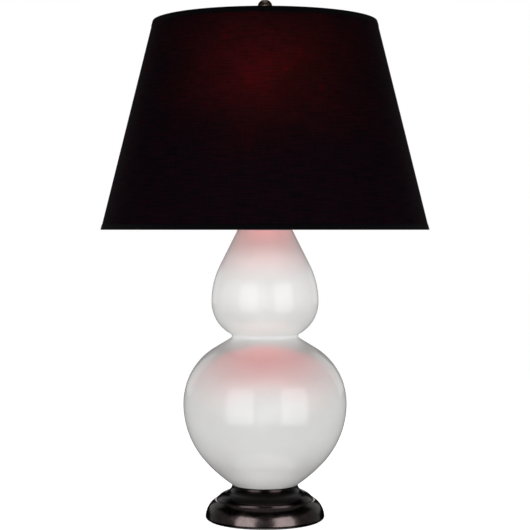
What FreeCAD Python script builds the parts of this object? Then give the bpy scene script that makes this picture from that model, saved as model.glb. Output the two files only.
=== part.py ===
"""Double gourd table lamp: a glazed two-lobed body on a hollow cast foot, a turn-switch socket with
its bulb, a lift-off harp, and a lined cone shade held down by a ball finial.

Millimetres, +Z up. The origin is the centre of the foot, on the table. The switch knob points
towards -Y, the cord outlet towards +Y, and the harp stands in the X-Z plane.
"""
import FreeCAD, Part
import Sketcher
import math
import os
import re

Vector = FreeCAD.Vector

# ------------------------------------------------------------------ driving sizes
# Each size is one cell of the sheet. Radii are outside radii unless the name says bore.
SIZES = {
    # foot
    "pad_inset": 4.5, "pad_thick": 1.0,
    "base_height": 51.6, "base_neck_radius": 50.0, "base_radius": 90.5, "base_wall": 6.5,
    "cove_radius": 12.0, "cove_out": 9.0, "cove_drop": 10.3,
    "step_radius": 73.5, "step_up": 30.8, "step_drop": 1.3, "step_out": 3.3,
    "shoulder_bend": 30.0, "skirt_bend": 32.0, "rim_round": 4.0, "top_plate": 5.8,
    "ballast_radius": 46.0, "ballast_thick": 19.0, "ballast_gap": 0.6, "ballast_relief": 3.0,
    # threaded pipe and its hardware
    "pipe_radius": 4.85, "pipe_bore": 3.4, "thread_gap": 0.05, "pipe_gap": 0.25, "pipe_spare": 3.0,
    "washer_radius": 14.0, "washer_thick": 2.0, "lock_washer_radius": 8.6, "lock_washer_thick": 1.4,
    "nut_flats": 16.0, "nut_thick": 6.0, "neck_nut_thick": 5.0,
    # cord outlet
    "outlet_height": 12.0, "outlet_inset": 3.6, "outlet_depth": 10.4, "bush_bore": 3.3,
    "bush_radius": 4.2, "bush_flange_radius": 6.0, "bush_flange": 2.0, "boss_radius": 9.0,
    "boss_inset": 1.5,
    # body
    "gasket_thick": 1.0, "gasket_bore": 30.0, "gasket_radius": 49.0,
    "belly_radius": 124.2, "belly_rise": 123.2, "underbelly_bend": 131.0, "flank_angle": 41.6,
    "flank_bend": 230.0, "shoulder_radius": 100.0, "waist_radius": 46.5, "waist_rise": 226.4,
    "waist_fillet": 3.5, "crown_radius": 81.3, "crown_rise": 278.2, "crown_bend": 125.0,
    "crown_angle": 26.6, "mouth_rise": 419.2, "glaze_wall": 6.0, "waist_wall": 14.0,
    "floor_thick": 9.0,
    # cap, neck and saddle
    "cap_height": 18.0, "cap_radius": 27.0, "cap_rim": 1.8, "cap_neck": 10.0, "cap_collar": 3.0,
    "cap_wall": 2.0, "cap_bend": 17.0, "cap_ledge": 4.0, "neck_length": 19.0,
    "neck_radius": 8.0,
    "saddle_thick": 1.6, "saddle_hub": 14.0, "saddle_width": 12.0, "saddle_climb": 2.6,
    "shelf_in": 5.5, "shelf_out": 5.5, "ear_thick": 1.6, "ear_width": 4.0, "ear_height": 11.0,
    # socket
    "hub_height": 6.0, "hub_radius": 8.0, "cup_radius": 17.2, "cup_flare": 8.0, "cup_height": 22.0,
    "cup_wall": 0.6, "cup_ease": 0.6, "barrel_radius": 16.5, "barrel_wall": 0.6,
    "barrel_height": 44.0,
    "barrel_start": 17.0, "liner_radius": 15.8, "liner_wall": 0.5, "block_radius": 15.1,
    "block_height": 18.0, "sleeve_height": 41.0, "sleeve_wall": 0.9, "screw_bore": 13.35,
    "screw_wall": 0.5, "screw_height": 22.0, "contact_radius": 4.0, "contact_thick": 1.2,
    "liner_step": 1.0, "wall_hole_gap": 1.0, "terminal_radius": 2.5, "terminal_length": 9.0,
    "terminal_up": 5.0,
    # switch
    "switch_up": 13.5, "shaft_radius": 2.0, "shaft_gap": 0.08, "shaft_length": 19.0,
    "shaft_start": 6.0, "knob_radius": 5.0, "knob_length": 13.0, "knob_stand": 1.2,
    "knob_flute": 0.9, "knob_flutes": 12, "knob_round": 1.5,
    # bulb
    "tip_gap": 0.3, "tip_radius": 4.4, "tip_thick": 2.2, "glass_disc_thick": 3.0,
    "cap_screw_radius": 13.0, "cap_screw_height": 19.5, "cap_screw_wall": 0.5, "bulb_rim": 1.2,
    "cap_taper": 2.0, "cap_skin": 0.4,
    "bulb_neck": 14.0, "bulb_radius": 30.0, "bulb_length": 112.0, "bulb_wall": 1.0,
    "bulb_neck_bend": 80.0, "bulb_join_angle": 27.8, "stem_radius": 4.0, "stem_height": 24.0,
    "stem_rim": 1.5, "stem_pinch": 10.0, "lead_stub": 3.0,
    "lead_radius": 0.45, "lead_in": 2.5, "lead_out": 9.0, "lead_rise": 22.0, "filament_radius": 0.7,
    # harp
    "harp_height": 227.4, "harp_wire": 2.0, "harp_foot": 33.0, "harp_reach": 57.0,
    "harp_top_bend": 45.0, "harp_knee_bend": 30.0, "harp_flare": 9.7, "tongue_thick": 1.8,
    "tongue_height": 13.0, "slip_gap": 0.2, "foot_lift": 12.0, "harp_plate_radius": 8.0,
    "harp_plate_thick": 1.6, "stud_radius": 3.1, "stud_height": 12.0, "stud_chamfer": 0.8,
    "ferrule_bore": 3.2, "ferrule_wall": 1.0, "ferrule_height": 16.0,
    # shade
    "shade_bottom_radius": 248.0, "shade_top_radius": 169.6, "shade_height": 313.3,
    "cloth_thick": 1.2, "liner_thick": 0.8, "spider_recess": 12.3, "ring_wire": 1.6,
    "trim_thick": 0.5, "trim_depth": 7.6, "trim_gap": 0.1,
    "spider_hub": 14.0, "spider_hub_thick": 2.0, "spider_wire": 1.6, "spider_arms": 3,
    "spider_bend": 14.0, "spider_run": 14.0, "spider_grip": 2.0, "seat_gap": 0.1,
    # finial
    "finial_height": 44.9, "ball_radius": 11.3, "finial_foot": 8.0, "finial_foot_thick": 2.4,
    "finial_waist": 6.4, "finial_bead": 7.6, "finial_neck": 4.6, "insert_radius": 5.0,
    "insert_length": 11.0, "insert_gap": 0.05, "insert_relief": 1.5, "bead_up": 5.0,
    "bead_half": 0.8, "bead_fillet": 0.7, "finial_cove": 2.0,
}

MATCH = 0.01  # how near an edge must lie to the place where it is looked for
ON_AXIS = 1e-9

doc = FreeCAD.newDocument("double_gourd_lamp")
sheet = doc.addObject("Spreadsheet::Sheet", "sizes")
for row, (alias, number) in enumerate(SIZES.items(), start=1):
    sheet.set(f"A{row}", alias)
    sheet.set(f"B{row}", str(number))
    sheet.setAlias(f"B{row}", alias)
doc.recompute()

ALIASES = re.compile(r"\b(" + "|".join(SIZES) + r")\b")
parts = []


def linked(text):
    """The expression with each size's name pointing at its cell in the sheet."""
    return ALIASES.sub(r"sizes.\1", str(text))


def value(text):
    """What an expression comes to now, as a plain number."""
    return float(sheet.evalExpression(linked(text)))


# ------------------------------------------------------------------ heights up the lamp's axis
base_top = "(pad_thick + base_height)"
gourd_foot = f"({base_top} + gasket_thick)"
mouth = f"({gourd_foot} + mouth_rise)"
cap_top = f"({mouth} + cap_height)"
saddle_base = f"({cap_top} + neck_length + neck_nut_thick)"
socket_seat = f"({saddle_base} + saddle_thick)"
socket_floor = f"({socket_seat} + barrel_start)"
block_top = f"({socket_floor} + block_height)"
bulb_tip = f"({block_top} + contact_thick + tip_gap)"
switch_level = f"({socket_floor} + switch_up)"
shelf_top = f"({socket_seat} + saddle_climb)"
harp_top = f"({saddle_base} + harp_height)"
spider_seat = f"({harp_top} + seat_gap)"
finial_seat = f"({spider_seat} + spider_hub_thick + seat_gap)"
shade_top = f"({spider_seat} + spider_recess)"
shade_base = f"({shade_top} - shade_height)"
plate_under = f"({base_top} - top_plate)"
outlet_seat = "(base_radius - outlet_inset)"
pipe_hole = "(pipe_radius + pipe_gap)"
threaded_bore = "(pipe_radius + thread_gap)"


# ------------------------------------------------------------------ drawing helpers
def new_body(label):
    """An empty body whose label names its file."""
    body = doc.addObject("PartDesign::Body", label)
    body.Label = label
    parts.append(body)
    return body


def place(item, x="0", y="0", z="0", turn=None):
    """Put an item's own origin at x, y, z; turn is (axis, degrees) of its own frame."""
    rotation = FreeCAD.Rotation(*turn) if turn else FreeCAD.Rotation()
    item.Placement = FreeCAD.Placement(Vector(), rotation)
    for axis, text in (("x", x), ("y", y), ("z", z)):
        if text != "0":
            item.setExpression(f"Placement.Base.{axis}", linked(text))


def new_sketch(body, role, offset=None):
    """A sketch on one of the body's own origin planes, moved along its normal by offset."""
    sketch = body.newObject("Sketcher::SketchObject", f"{body.Label}_sketch")
    plane = next(item for item in body.Origin.OriginFeatures if item.Role == role)
    sketch.AttachmentSupport = [(plane, "")]
    sketch.MapMode = "FlatFace"
    if offset is not None:
        sketch.AttachmentOffset = FreeCAD.Placement(Vector(0, 0, value(offset)), FreeCAD.Rotation())
        sketch.setExpression("AttachmentOffset.Base.z", linked(offset))
    return sketch


def bind(sketch, constraint, text):
    """Add a constraint and tie its value to the sheet."""
    index = sketch.addConstraint(constraint)
    sketch.setExpression(f"Constraints[{index}]", linked(text))


def side_geometry(start, end, bend):
    """One side of an outline, and which of its ends (1 or 2) is the start."""
    if bend is None:
        return Part.LineSegment(start, end), 1
    radius, turn = value(bend[0]), bend[1]
    chord = end - start
    reach = math.sqrt(max(radius**2 - (chord.Length / 2) ** 2, 0.0))
    left = Vector(-chord.y, chord.x, 0).normalize()
    centre = (start + end) / 2 + left * reach * turn
    first, last = (start, end) if turn > 0 else (end, start)
    low = math.atan2(first.y - centre.y, first.x - centre.x)
    high = math.atan2(last.y - centre.y, last.x - centre.x)
    if high < low:
        high += 2 * math.pi
    circle = Part.Circle(centre, Vector(0, 0, 1), radius)
    return Part.ArcOfCircle(circle, low, high), 1 if turn > 0 else 2


def draw(sketch, corners, closed=True):
    """Draw an outline through corners (across, up[, bend]), each place an expression.

    The side from a corner to the next is straight, or an arc where the corner has a bend
    (radius, turn): turn is +1 when the arc's centre lies left of the way along it, -1 right.
    """
    places = [Vector(value(corner[0]), value(corner[1]), 0) for corner in corners]
    sides = len(corners) if closed else len(corners) - 1
    starts = []
    for index in range(sides):
        bend = corners[index][2] if len(corners[index]) > 2 else None
        shape, first = side_geometry(places[index], places[(index + 1) % len(places)], bend)
        starts.append((sketch.addGeometry(shape), first))
        if bend is not None:
            bind(sketch, Sketcher.Constraint("Radius", starts[-1][0], value(bend[0])), bend[0])
    ends = [(side, 3 - first) for side, first in starts]
    for index, corner in enumerate(corners):
        side, point = starts[index] if index < sides else ends[-1]
        across = places[index].x
        if abs(across) < ON_AXIS:
            sketch.addConstraint(Sketcher.Constraint("PointOnObject", side, point, -2))
        else:
            rule = Sketcher.Constraint("DistanceX", -1, 1, side, point, across)
            bind(sketch, rule, corner[0])
        rule = Sketcher.Constraint("DistanceY", -1, 1, side, point, places[index].y)
        bind(sketch, rule, corner[1])
        if index < sides and (closed or index > 0):
            before = ends[index - 1]
            sketch.addConstraint(Sketcher.Constraint("Coincident", *before, side, point))


def circle_in(sketch, across, up, radius):
    """A full circle in a sketch."""
    middle = Vector(value(across), value(up), 0)
    index = sketch.addGeometry(Part.Circle(middle, Vector(0, 0, 1), value(radius)))
    bind(sketch, Sketcher.Constraint("Radius", index, value(radius)), radius)
    for name, text, low_axis in (("DistanceX", across, -2), ("DistanceY", up, -1)):
        if abs(value(text)) < ON_AXIS:
            sketch.addConstraint(Sketcher.Constraint("PointOnObject", index, 3, low_axis))
        else:
            bind(sketch, Sketcher.Constraint(name, -1, 1, index, 3, value(text)), text)


def revolve(body, corners, cut=False):
    """Turn an outline of (radius, height) corners round the body's own Z axis."""
    sketch = new_sketch(body, "XZ_Plane")
    draw(sketch, corners)
    kind = "PartDesign::Groove" if cut else "PartDesign::Revolution"
    feature = body.newObject(kind, f"{body.Label}_turned")
    feature.Profile = sketch
    feature.ReferenceAxis = (sketch, ["V_Axis"])
    feature.Angle = 360
    return feature


def turned(label, corners):
    """A body that is one turned outline."""
    body = new_body(label)
    revolve(body, corners)
    return body


def tube(label, bore, radius, low, high):
    """A plain ring or tube round the Z axis; a bore of 0 gives a solid disc."""
    return turned(label, [(bore, low), (radius, low), (radius, high), (bore, high)])


def pad(body, role, low, length, outline):
    """Pad what outline draws on a plane at height low, along the plane's normal."""
    sketch = new_sketch(body, role, low)
    outline(sketch)
    feature = body.newObject("PartDesign::Pad", f"{body.Label}_pad")
    feature.Profile = sketch
    feature.Length = value(length)
    feature.setExpression("Length", linked(length))
    return feature


def middle_pad(body, width, corners):
    """Pad an outline of the X-Z plane to both sides, width in all."""
    feature = pad(body, "XZ_Plane", "0", width, lambda sketch: draw(sketch, corners))
    feature.SideType = "Symmetric"
    return feature


def drill(body, role, across, up, radius):
    """Cut a round hole right through, both ways from a plane of the body's origin."""
    sketch = new_sketch(body, role)
    circle_in(sketch, across, up, radius)
    feature = body.newObject("PartDesign::Pocket", f"{body.Label}_hole")
    feature.Profile = sketch
    feature.Type = "ThroughAll"
    feature.SideType = "Symmetric"
    return feature


def wire_along(body, path_corners, role, offset, across, up, radius):
    """Sweep a round wire along a path of the X-Z plane, its section on the named plane."""
    path = new_sketch(body, "XZ_Plane")
    draw(path, path_corners, closed=False)
    section = new_sketch(body, role, offset)
    circle_in(section, across, up, radius)
    doc.recompute()
    pipe = body.newObject("PartDesign::AdditivePipe", f"{body.Label}_wire")
    pipe.Profile = section
    pipe.Spine = (path, [f"Edge{number + 1}" for number in range(len(path_corners) - 1)])
    return pipe


def repeat_round(body, feature, count):
    """Repeat a feature round the Z axis."""
    pattern = body.newObject("PartDesign::PolarPattern", f"{body.Label}_round")
    pattern.Originals = [feature]
    axis = next(item for item in body.Origin.OriginFeatures if item.Role == "Z_Axis")
    pattern.Axis = (axis, [""])
    pattern.Angle = 360
    pattern.Occurrences = int(value(count))
    pattern.setExpression("Occurrences", linked(count))
    body.Tip = pattern


def mirror_across(body, features, role):
    """Mirror features in one of the body's origin planes."""
    mirrored = body.newObject("PartDesign::Mirrored", f"{body.Label}_mirror")
    mirrored.Originals = features
    plane = next(item for item in body.Origin.OriginFeatures if item.Role == role)
    mirrored.MirrorPlane = (plane, [""])
    body.Tip = mirrored


def hex_nut(label, low, thick):
    """A hexagon nut on the threaded pipe."""
    body = new_body(label)
    corner = "(nut_flats / 2 / cos(30))"
    around = [(f"{corner} * cos({60 * side})", f"{corner} * sin({60 * side})") for side in (1, 2)]
    around += [(f"-{corner}", "0"), (f"-{around[0][0]}", f"-({around[0][1]})")]
    around += [(around[0][0], f"-({around[0][1]})"), (corner, "0")]
    pad(body, "XY_Plane", low, thick, lambda sketch: draw(sketch, around))
    drill(body, "XY_Plane", "0", "0", threaded_bore)
    return body


# ------------------------------------------------------------------ foot
def make_base_shell():
    """Hollow cast foot: cove under the body, rounded shoulder, small step and domed skirt."""
    body = new_body("base_shell")
    neck_low = f"({base_top} - cove_drop)"
    neck_out = "(base_neck_radius + cove_out)"
    step_level = "(pad_thick + step_up)"
    ledge = f"({step_level} - step_drop)"
    skirt_top = "(step_radius + step_out)"
    rim_up = "(pad_thick + rim_round)"
    revolve(body, [
        (pipe_hole, plate_under),
        ("ballast_radius + ballast_gap", plate_under),
        ("ballast_radius + ballast_relief", f"{neck_low} - base_wall / 2"),
        ("step_radius - base_wall * 1.2", f"{step_level} - base_wall / 2"),
        ("step_radius - base_wall / 4", f"{ledge} - base_wall", ("skirt_bend - base_wall", -1)),
        ("base_radius - base_wall", rim_up),
        ("base_radius - base_wall", "pad_thick"),
        ("base_radius - rim_round", "pad_thick", ("rim_round", 1)),
        ("base_radius", rim_up, ("skirt_bend", 1)),
        (skirt_top, ledge),
        ("step_radius", ledge),
        ("step_radius", step_level, ("shoulder_bend", 1)),
        (neck_out, neck_low, ("cove_radius", -1)),
        ("base_neck_radius", base_top),
        (pipe_hole, base_top),
    ])
    inner_start = f"({outlet_seat} - outlet_depth)"
    boss = pad(body, "XZ_Plane", f"-{inner_start}", "outlet_depth - boss_inset",
               lambda sketch: circle_in(sketch, "0", "outlet_height", "boss_radius"))
    boss.Reversed = True
    sketch = new_sketch(body, "XZ_Plane", f"-{inner_start}")
    circle_in(sketch, "0", "outlet_height", "bush_radius + thread_gap")
    bore = body.newObject("PartDesign::Pocket", "outlet_bore")
    bore.Profile = sketch
    bore.Type = "ThroughAll"
    seat_sketch = new_sketch(body, "XZ_Plane", f"-{outlet_seat}")
    circle_in(seat_sketch, "0", "outlet_height", "bush_flange_radius + pipe_gap")
    seat = body.newObject("PartDesign::Pocket", "outlet_spot_face")
    seat.Profile = seat_sketch
    seat.Type = "ThroughAll"


def make_foot():
    """Felt pad, weight and cord bush, besides the cast shell."""
    tube("foot_pad", "0", "(base_radius - pad_inset)", "0", "pad_thick")
    make_base_shell()
    tube("base_weight", pipe_hole, "ballast_radius", f"{plate_under} - ballast_thick", plate_under)
    bush = turned("cord_bush", [
        ("bush_bore", "0"),
        ("bush_radius", "0"),
        ("bush_radius", "outlet_depth"),
        ("bush_flange_radius", "outlet_depth"),
        ("bush_flange_radius", "outlet_depth + bush_flange"),
        ("bush_bore", "outlet_depth + bush_flange"),
    ])
    place(bush, y=f"{outlet_seat} - outlet_depth", z="outlet_height", turn=(Vector(1, 0, 0), -90))


# ------------------------------------------------------------------ pipe and its hardware
def make_pipe_stack():
    """The threaded pipe that holds foot, body, cap, neck and socket together."""
    weight_under = f"({plate_under} - ballast_thick)"
    washer_under = f"({weight_under} - washer_thick)"
    lock_under = f"({washer_under} - lock_washer_thick)"
    nut_under = f"({lock_under} - nut_thick)"
    tube("base_washer", pipe_hole, "washer_radius", washer_under, weight_under)
    tube("base_lock_washer", pipe_hole, "lock_washer_radius", lock_under, washer_under)
    hex_nut("base_nut", nut_under, "nut_thick")
    tube("lamp_pipe", "pipe_bore", "pipe_radius", f"{nut_under} - pipe_spare",
         f"{socket_seat} + hub_height + pipe_spare")
    tube("base_gasket", "gasket_bore", "gasket_radius", base_top, gourd_foot)


# ------------------------------------------------------------------ body
def lobe_outline(inset, waist_inset):
    """The gourd's profile from the flank's foot to the top of its crown, moved in by inset.

    Arcs round the belly and the crown stand upright at their widest places. A straight run leads
    from the belly's shoulder, where it leaves the arc smoothly, to the waist.
    """
    belly = f"({gourd_foot} + belly_rise)"
    crown = f"({gourd_foot} + crown_rise)"
    waist = f"({gourd_foot} + waist_rise)"
    waist_across = f"(waist_radius - {waist_inset})"
    under_bend = f"(underbelly_bend - {inset})"
    under_middle = "(belly_radius - underbelly_bend)"
    flank_bend = f"(flank_bend - {inset})"
    flank_middle = f"({under_middle} + (underbelly_bend - flank_bend) * cos(flank_angle))"
    flank_level = f"({belly} - (underbelly_bend - flank_bend) * sin(flank_angle))"
    low = f"({gourd_foot} + {'floor_thick' if inset != '0' else '0'})"
    foot_across = f"({flank_middle} + sqrt({flank_bend}^2 - ({low} - {flank_level})^2))"
    arc = f"(shoulder_radius - {inset})"
    arc_middle = "(belly_radius - shoulder_radius)"
    away = f"({waist_across} - {arc_middle})"
    above = f"({waist} - {belly})"
    leave = f"(atan2({above}; {away}) - acos({arc} / sqrt({away}^2 + {above}^2)))"
    half = f"(crown_radius - {inset} - {waist_across})"
    lower_crown = f"(({half}^2 + ({crown} - {waist})^2) / 2 / {half})"
    crown_bend = f"(crown_bend - {inset})"
    crown_out = f"(crown_radius - crown_bend + {crown_bend} * cos(crown_angle))"
    crown_up = f"({crown} + {crown_bend} * sin(crown_angle))"
    mouth_across = f"({crown_out} - ({mouth} - {crown_up}) * tan(crown_angle))"
    return [
        (foot_across, low, (flank_bend, 1)),
        (f"{under_middle} + {under_bend} * cos(flank_angle)",
         f"{belly} - {under_bend} * sin(flank_angle)", (under_bend, 1)),
        (f"belly_radius - {inset}", belly, (arc, 1)),
        (f"{arc_middle} + {arc} * cos({leave})", f"{belly} + {arc} * sin({leave})"),
        (waist_across, waist, (lower_crown, 1)),
        (f"crown_radius - {inset}", crown, (crown_bend, 1)),
        (crown_out, crown_up),
        (mouth_across, mouth),
    ]


def make_gourd():
    """The hollow glazed body, open at the mouth and drilled in its floor for the pipe."""
    body = new_body("gourd_body")
    outside = lobe_outline("0", "0")
    inside = lobe_outline("glaze_wall", "waist_wall")
    backwards = []
    for index in range(len(inside) - 1, -1, -1):
        across, up = inside[index][:2]
        bend = inside[index - 1][2] if index and len(inside[index - 1]) > 2 else None
        backwards.append((across, up, (bend[0], -1)) if bend else (across, up))
    hole = [(pipe_hole, f"{gourd_foot} + floor_thick"), (pipe_hole, gourd_foot)]
    shell = revolve(body, outside + backwards + hole)
    doc.recompute()
    crease_level = value(f"{gourd_foot} + waist_rise")
    crease_radius = value("waist_radius")
    crease = [
        f"Edge{number}" for number, edge in enumerate(shell.Shape.Edges, start=1)
        if isinstance(edge.Curve, Part.Circle)
        and abs(edge.Curve.Center.z - crease_level) < MATCH
        and abs(edge.Curve.Radius - crease_radius) < MATCH
    ]
    fillet = body.newObject("PartDesign::Fillet", "waist_crease")
    fillet.Base = (shell, crease)
    fillet.Radius = value("waist_fillet")
    fillet.setExpression("Radius", linked("waist_fillet"))


# ------------------------------------------------------------------ cap, neck and saddle
def make_neck():
    """Spun cap over the mouth, neck tube, lock nut and the stamped saddle that carries the harp."""
    collar_low = f"({cap_top} - cap_collar)"
    rim_top = f"({mouth} + cap_rim)"
    turned("vase_cap", [
        (pipe_hole, f"{cap_top} - cap_wall"),
        ("cap_neck - cap_wall", f"{cap_top} - cap_wall"),
        ("cap_neck - cap_wall", f"{collar_low} - cap_wall / 2", ("cap_bend + cap_wall", 1)),
        ("cap_radius - cap_rim - cap_ledge", f"{rim_top} - cap_wall / 2"),
        ("cap_radius - cap_rim - cap_ledge", mouth),
        ("cap_radius", mouth),
        ("cap_radius", rim_top),
        ("cap_radius - cap_rim", rim_top, ("cap_bend", -1)),
        ("cap_neck", collar_low),
        ("cap_neck", cap_top),
        (pipe_hole, cap_top),
    ])
    neck_top = f"({cap_top} + neck_length)"
    tube("neck_tube", pipe_hole, "neck_radius", cap_top, neck_top)
    hex_nut("neck_nut", neck_top, "neck_nut_thick")

    saddle = new_body("harp_saddle")
    inner, outer = "(harp_foot - shelf_in)", "(harp_foot + shelf_out)"
    middle_pad(saddle, "saddle_width", [
        ("-saddle_hub", saddle_base),
        ("saddle_hub", saddle_base),
        (inner, f"{saddle_base} + saddle_climb"),
        (outer, f"{saddle_base} + saddle_climb"),
        (outer, shelf_top),
        (inner, shelf_top),
        ("saddle_hub", socket_seat),
        ("-saddle_hub", socket_seat),
        (f"-{inner}", shelf_top),
        (f"-{outer}", shelf_top),
        (f"-{outer}", f"{saddle_base} + saddle_climb"),
        (f"-{inner}", f"{saddle_base} + saddle_climb"),
    ])
    for sign in ("", "-"):
        near = f"{sign}(harp_foot + slip_gap / 2)"
        far = f"{sign}(harp_foot + slip_gap / 2 + ear_thick)"
        middle_pad(saddle, "ear_width", [
            (near, f"{shelf_top} - saddle_thick / 2"),
            (far, f"{shelf_top} - saddle_thick / 2"),
            (far, f"{shelf_top} + ear_height"),
            (near, f"{shelf_top} + ear_height"),
        ])
    drill(saddle, "XY_Plane", "0", "0", pipe_hole)


# ------------------------------------------------------------------ socket
def make_socket():
    """Cup, barrel, fibre liner, moulded block, screw shell, centre contact and terminal screws."""
    cup_start = f"({socket_seat} + hub_height)"
    cup_top = f"({socket_seat} + cup_height)"
    turned("socket_cap", [
        (threaded_bore, socket_seat),
        ("hub_radius", socket_seat),
        ("hub_radius", cup_start, ("cup_radius - hub_radius + cup_ease", 1)),
        ("cup_radius", f"{cup_start} + cup_flare"),
        ("cup_radius", cup_top),
        ("cup_radius - cup_wall", cup_top),
        ("cup_radius - cup_wall", f"{cup_start} + cup_flare",
         ("cup_radius - hub_radius + cup_ease - cup_wall", -1)),
        ("hub_radius", f"{cup_start} + cup_wall"),
        (threaded_bore, f"{cup_start} + cup_wall"),
    ])
    barrel = tube("socket_barrel", "barrel_radius - barrel_wall", "barrel_radius",
                  socket_floor, f"{socket_floor} + barrel_height")
    liner = tube("socket_liner", "liner_radius - liner_wall", "liner_radius",
                 socket_floor, f"{socket_floor} + barrel_height - liner_step")
    sleeve_bore = "(block_radius - sleeve_wall)"
    block = turned("socket_block", [
        ("0", socket_floor),
        ("block_radius", socket_floor),
        ("block_radius", f"{socket_floor} + sleeve_height"),
        (sleeve_bore, f"{socket_floor} + sleeve_height"),
        (sleeve_bore, block_top),
        ("0", block_top),
    ])
    wide_hole, shaft_hole = "(shaft_radius + wall_hole_gap)", "(shaft_radius + shaft_gap)"
    for wall, radius in ((barrel, wide_hole), (liner, wide_hole), (block, shaft_hole)):
        sketch = new_sketch(wall, "XZ_Plane")
        circle_in(sketch, "0", switch_level, radius)
        bore = wall.newObject("PartDesign::Pocket", f"{wall.Label}_switch_hole")
        bore.Profile = sketch
        bore.Type = "ThroughAll"
        bore.Reversed = True
    drill(block, "YZ_Plane", "0", f"{socket_floor} + terminal_up", "terminal_radius + thread_gap")
    tube("socket_screw_shell", "screw_bore", "screw_bore + screw_wall", block_top,
         f"{block_top} + screw_height")
    tube("socket_contact", "0", "contact_radius", block_top, f"{block_top} + contact_thick")

    terminals = new_body("terminal_screws")
    for sign in (1, -1):
        start = "block_radius - terminal_length" if sign > 0 else "-block_radius"
        pad(terminals, "YZ_Plane", start, "terminal_length",
            lambda sketch: circle_in(sketch, "0", f"{socket_floor} + terminal_up",
                                     "terminal_radius"))
    terminals.AllowCompound = True


def make_switch():
    """The switch shaft and its fluted knob, both on an axis that points towards -Y."""
    forwards = (Vector(1, 0, 0), 90)
    knob_start = "(barrel_radius + knob_stand)"
    shaft = tube("switch_shaft", "0", "shaft_radius", "0", "shaft_length")
    place(shaft, y="-shaft_start", z=switch_level, turn=forwards)
    knob = turned("switch_knob", [
        ("shaft_radius", "0"),
        ("knob_radius", "0"),
        ("knob_radius", "knob_length - knob_round", ("knob_round", 1)),
        ("knob_radius - knob_round", "knob_length"),
        ("0", "knob_length"),
        ("0", f"shaft_start + shaft_length - {knob_start}"),
        ("shaft_radius", f"shaft_start + shaft_length - {knob_start}"),
    ])
    sketch = new_sketch(knob, "XY_Plane")
    circle_in(sketch, "knob_radius + knob_flute / 3", "0", "knob_flute")
    flute = knob.newObject("PartDesign::Pocket", "knob_flute")
    flute.Profile = sketch
    flute.Type = "ThroughAll"
    flute.Reversed = True
    repeat_round(knob, flute, "knob_flutes")
    place(knob, y=f"-{knob_start}", z=switch_level, turn=forwards)


# ------------------------------------------------------------------ bulb
def make_bulb():
    """Contact, glass disc, screw cap, frosted glass, and the stem, leads and filament inside."""
    disc_low = f"({bulb_tip} + tip_thick)"
    disc_top = f"({disc_low} + glass_disc_thick)"
    rim_top = f"({disc_low} + cap_screw_height + bulb_rim)"
    centre = f"({bulb_tip} + bulb_length - bulb_radius)"
    tube("bulb_contact", "0", "tip_radius", bulb_tip, disc_low)
    turned("bulb_disc", [
        ("0", disc_low),
        ("tip_radius", disc_low),
        ("cap_screw_radius - cap_taper", disc_top),
        ("0", disc_top),
    ])
    cap_inner = "(cap_screw_radius - cap_screw_wall)"
    turned("bulb_screw_cap", [
        ("cap_screw_radius - cap_taper", disc_top),
        ("cap_screw_radius", f"{disc_top} + cap_taper"),
        ("cap_screw_radius", f"{rim_top} - bulb_rim * 2"),
        ("bulb_neck", f"{rim_top} - bulb_rim"),
        ("bulb_neck", rim_top),
        (cap_inner, rim_top),
        (cap_inner, f"{disc_top} + cap_taper + cap_skin / 2"),
        ("cap_screw_radius - cap_taper - cap_skin", f"{disc_top} + cap_skin"),
        ("0", f"{disc_top} + cap_skin"),
        ("0", disc_top),
    ])
    join = "bulb_join_angle"
    inner = "(bulb_radius - bulb_wall)"
    turned("bulb_glass", [
        ("bulb_neck - bulb_wall", rim_top),
        ("bulb_neck", rim_top, ("bulb_neck_bend", -1)),
        (f"bulb_radius * cos({join})", f"{centre} - bulb_radius * sin({join})",
         ("bulb_radius", 1)),
        ("bulb_radius", centre, ("bulb_radius", 1)),
        ("0", f"{centre} + bulb_radius"),
        ("0", f"{centre} + {inner}", (inner, -1)),
        (inner, centre, (inner, -1)),
        (f"{inner} * cos({join})", f"{centre} - {inner} * sin({join})",
         ("bulb_neck_bend + bulb_wall", 1)),
    ])
    stem_top = f"({rim_top} + stem_height)"
    turned("bulb_stem", [
        ("0", rim_top),
        ("bulb_neck - bulb_wall - pipe_gap", rim_top),
        ("bulb_neck - bulb_wall - pipe_gap", f"{rim_top} + stem_rim", ("bulb_neck", -1)),
        ("stem_radius", f"{rim_top} + stem_pinch"),
        ("stem_radius", stem_top),
        ("0", stem_top),
    ])
    leads = new_body("bulb_leads")
    lead_top = f"({stem_top} + lead_rise)"
    lead = wire_along(leads, [("lead_in", stem_top), ("lead_in", f"{stem_top} + lead_stub"),
                              ("lead_out", lead_top)],
                      "XY_Plane", stem_top, "lead_in", "0", "lead_radius")
    leads.AllowCompound = True
    mirror_across(leads, [lead], "YZ_Plane")
    filament = doc.addObject("Part::Torus", "bulb_filament")
    filament.Label = "bulb_filament"
    filament.Angle3 = 180
    for name, text in (("Radius1", "lead_out"), ("Radius2", "filament_radius")):
        filament.setExpression(name, linked(text))
    place(filament, z=f"{lead_top} + filament_radius")
    parts.append(filament)


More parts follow.
